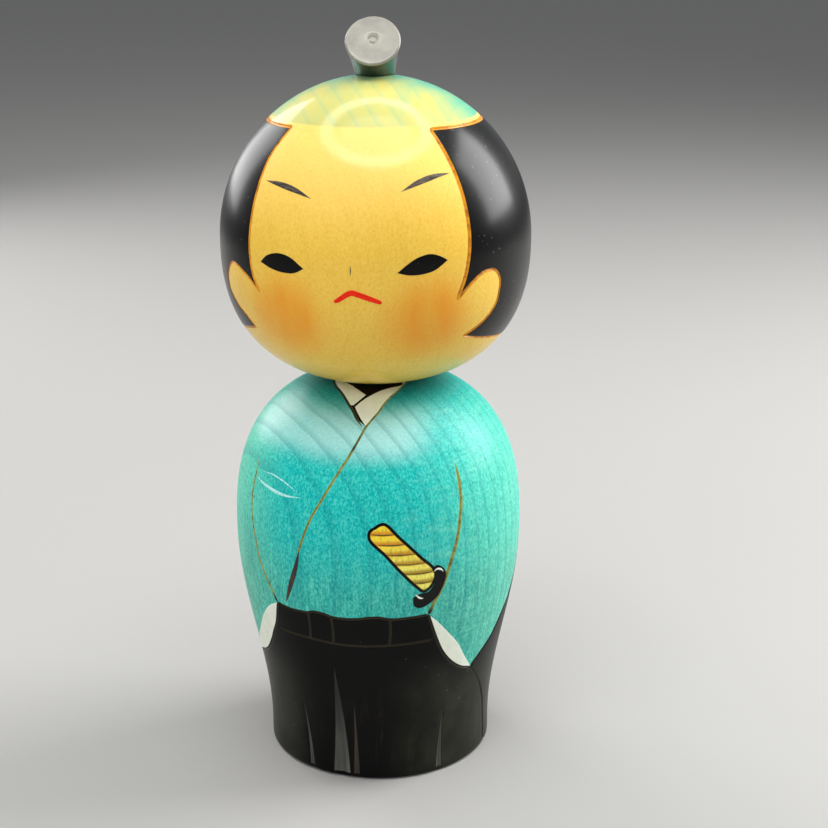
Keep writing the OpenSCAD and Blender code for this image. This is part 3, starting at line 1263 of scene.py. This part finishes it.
ink = patchy_paint(
    "grey_ink", "grey_ink", (900.0, 3.0, 0.7, (0.6, 0.6, 2.5)), (0.42, 4),
    rgb(38, 34, 32), rgb(116, 100, 80), {"Coat Weight": 0.5, "Coat Roughness": 0.2},
)
red = patchy_paint(
    "red_paint", "red_paint", (900.0, 3.0), (0.45, 3), rgb(246, 44, 16), rgb(222, 26, 8),
    {"Coat Weight": 0.2, "Coat Roughness": 0.2, "Specular IOR Level": 0.1},
)
lids = {
    "left": (
        [(-35.2, 109.4), (-32.2, 110.8), (-26.9, 111.6), (-21.8, 111.1), (-16.6, 109.2)],
        [(-35.2, 109.4), (-31.0, 108.6), (-26.0, 108.1), (-20.5, 108.2), (-16.6, 109.2)],
    ),
    "right": (
        [(16.2, 108.9), (19.4, 110.3), (23.0, 111.5), (27.7, 112.1), (31.3, 111.6), (34.3, 110.7)],
        [(16.2, 108.9), (20.2, 108.4), (24.6, 108.4), (29.4, 109.0), (34.3, 110.7)],
    ),
}
for side, (upper, lower) in lids.items():
    eye = joined(face_line(upper, step=0.25), [face_line(lower, step=0.25)])
    patch("eye_" + side, head_form, eye, lacquer, spacing=0.45)
for name, points, width, step, spacing in (
    ("brow_left", [(-38.4, 124.1), (-30.3, 123.8), (-22.6, 123.1), (-15.2, 121.9)], 1.1, 0.25, 0.4),
    ("brow_right", [(40, 125.9), (33, 125.6), (25.5, 124.7), (18.5, 123.3)], 1.1, 0.25, 0.4),
    ("nose", [(0.2, 110.3), (0.3, 109.4), (0.1, 108.4)], 0.24, 0.2, 0.3),
):
    patch(name, head_form, stroke(face_line(points, step=step), width), ink, spacing=spacing)
mouth_line = face_line(
    [(-5.9, 103.3), (-4.6, 103.6), (-0.6, 105), (0.7, 105.2), (2.0, 105), (9.6, 103.5), (10.9, 103.2)],
    step=0.25,
)
patch("mouth", head_form, stroke(mouth_line, 1.08, 0.2), red, spacing=0.4)

# Topknot. A tapered peg of lacquered wood, turned with a flat face and pushed into its socket in the
# crown. The face is coloured a satin grey, in place of the sheen that a lamp gives black lacquer.

knot_edge_r = 0.4
knot_black = Finish("topknot_lacquer")
smear = knot_black.mottle(260.0, 4.0, 0.6)
centre = tuple(knot_place.translation * MM)
from_face = knot_black.node("VectorMath", {"operation": "SUBTRACT"}, {0: knot_black.place(), 1: centre})
down = knot_black.node("VectorMath", {"operation": "DOT_PRODUCT"}, {0: from_face, 1: tuple(knot_axis)}, 1)
# painted reflection: the flat face is coloured a pale grey
face_sheen = knot_black.blend(smear.over(0.4, 3), rgb(150, 148, 134), rgb(128, 124, 114))
colour = knot_black.blend(smear.over(0.5, 3), rgb(12, 14, 12), rgb(26, 28, 25))
far = knot_black.far_from(centre)
marks_per_metre = 12500.0
tool_marks = (far * marks_per_metre).wave() * (1 - far.above(0.0008, 0.0052))
knot_black.surface({
    "Base Color": knot_black.blend(1 - down.above(0.0002, 0.0006), colour, face_sheen),
    "Roughness": 0.34 + smear * 0.14, "Coat Weight": 0.8, "Coat Roughness": 0.14, "Specular IOR Level": 0.3,
    "Normal": knot_black.relief(tool_marks + smear, 0.12, 0.0001),
})


def knot_outline():
    """From the lathe's mark in the middle of the face, over the rim, and down to the tip."""
    face_r = np.array([0.0, 0.25, 0.45, 0.6, 0.75, 0.9, 1.1, 2.2, 3.4, 4.4, knot_r - knot_edge_r])
    face_down = np.array([0.02, 0.03, 0.06, 0.15, 0.17, 0.1, 0.02, 0.0, 0.0, 0.0, 0.0])
    over = np.linspace(0, math.pi / 2, 9)[1:]
    rim_r = knot_r - knot_edge_r * (1 - np.sin(over))
    rim_down = knot_edge_r * (1 - np.cos(over))
    side_down = np.linspace(knot_edge_r, knot_l, 24)[1:]
    radius = np.concatenate([face_r, rim_r, knot_width(side_down) + knot_width(0) - knot_r, [0.0]])
    down = np.concatenate([face_down, rim_down, side_down, [knot_l]])
    return radius, down


knot_radius, knot_down = knot_outline()
knot_steps = 96
turns = np.linspace(0, 2 * math.pi, knot_steps, endpoint=False)
places, faces = [], []
for radius, down in zip(knot_radius[1:-1], knot_down[1:-1]):
    ring = [Vector((radius * math.cos(turn), radius * math.sin(turn), down)) for turn in turns]
    places += [tuple(knot_place @ corner * MM) for corner in ring]
for start in range(0, len(places) - knot_steps, knot_steps):
    for i in range(knot_steps):
        j = (i + 1) % knot_steps
        faces.append((start + i, start + knot_steps + i, start + knot_steps + j, start + j))
faces.append(tuple(range(knot_steps)))
faces.append(tuple(range(len(places) - 1, len(places) - knot_steps - 1, -1)))
topknot = mesh_object("topknot_peg", places, faces, knot_black)
topknot.data.shade_smooth()
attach(topknot, "head")
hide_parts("topknot")

# Floor, lights and camera. A plain pale floor, a ring lamp with a soft disc overhead, a softbox at each
# side behind the doll, and a soft fill in front.


def stage_mesh(name, places, faces, finish):
    made = mesh_object(name, places, faces, finish)
    return made


pale = Finish("pale_floor")
pale.surface({"Base Color": rgb(166, 165, 163), "Roughness": 0.8, "Specular IOR Level": 0.1})
stage_mesh("floor", [(-4, -4, 0), (4, -4, 0), (4, 4, 0), (-4, 4, 0)], [(0, 1, 2, 3)], pale)

world = bpy.data.worlds.new("studio")
world.use_nodes = True
world.node_tree.nodes["Background"].inputs["Color"].default_value = (0.95, 0.97, 1.0, 1)
world.node_tree.nodes["Background"].inputs["Strength"].default_value = 0.3
bpy.context.scene.world = world
bpy.context.scene.view_settings.view_transform = "Standard"


def lamp(name, place, aim, size, brightness, seen_in_gloss=True):
    """A flat soft lamp whose face shines with one brightness."""
    light = bpy.data.lights.new(name, "AREA")
    light.shape = "DISK" if len(size) == 1 else "RECTANGLE"
    light.size = size[0]
    light.size_y = size[-1]
    area = size[0] * size[-1] * (math.pi / 4 if len(size) == 1 else 1)
    light.energy = brightness * area * math.pi
    holder = put_in_scene(name, light)
    holder.location = place
    holder.rotation_mode = "QUATERNION"
    holder.rotation_quaternion = (Vector(aim) - Vector(place)).to_track_quat("-Z", "Y")
    holder.visible_glossy = seen_in_gloss


disc_place = Vector((0.028, -0.113, 0.62))
overhead_aim = Vector((0.005, -0.02, 0.13))
lamp("soft_disc", disc_place, overhead_aim, (0.44,), 2.6)
ring_r, ring_w = 0.27, 0.085
ring_place = Vector((0.012, -0.012, 0.62))
glow = Finish("ring_lamp")
shine = glow.node("Emission", None, {"Color": (1, 0.98, 0.94, 1), "Strength": 5.6})
glow.node("OutputMaterial", None, {"Surface": shine})
turn_down = (overhead_aim - ring_place).to_track_quat("-Z", "Y")
ring_steps = 64
ring_places = []
for turn in np.linspace(0, 2 * math.pi, ring_steps, endpoint=False):
    for far in (ring_r - ring_w / 2, ring_r + ring_w / 2):
        spoke = Vector((far * math.cos(turn), far * math.sin(turn), 0))
        ring_places.append(tuple(ring_place + turn_down @ spoke))
corners = 2 * ring_steps
ring_faces = [(i, i + 1, (i + 3) % corners, (i + 2) % corners) for i in range(0, corners, 2)]
ring_lamp = stage_mesh("ring_lamp", ring_places, ring_faces, glow)
ring_lamp.visible_camera = False

neck_aim = (0, 0, 0.115)
lamp("right_softbox", (0.52, 0.31, 0.38), neck_aim, (0.4, 0.46), 10.5)
lamp("left_softbox", (-0.48, 0.33, 0.31), neck_aim, (0.34, 0.4), 4.6)
lamp("front_fill", (-0.25, -0.9, 0.5), (0, 0, 0.08), (0.8, 0.6), 2.4, False)

camera_data = bpy.data.cameras.new("camera")
camera_data.sensor_width = 36
camera_data.lens = 72.8
camera_data.shift_x = 0.023
camera = put_in_scene("camera", camera_data)
camera_far, camera_z, camera_round = 0.33, 0.1783, math.radians(14)
camera.location = (camera_far * math.sin(camera_round), -camera_far * math.cos(camera_round), camera_z)
camera.rotation_mode = "QUATERNION"
tilt, pan, roll = math.radians(72.14), math.radians(13.37), math.radians(-0.35)
heading = Euler((tilt, 0, pan)).to_quaternion()
roll = Euler((0, 0, roll)).to_quaternion()
camera.rotation_quaternion = heading @ roll
bpy.context.scene.camera = camera
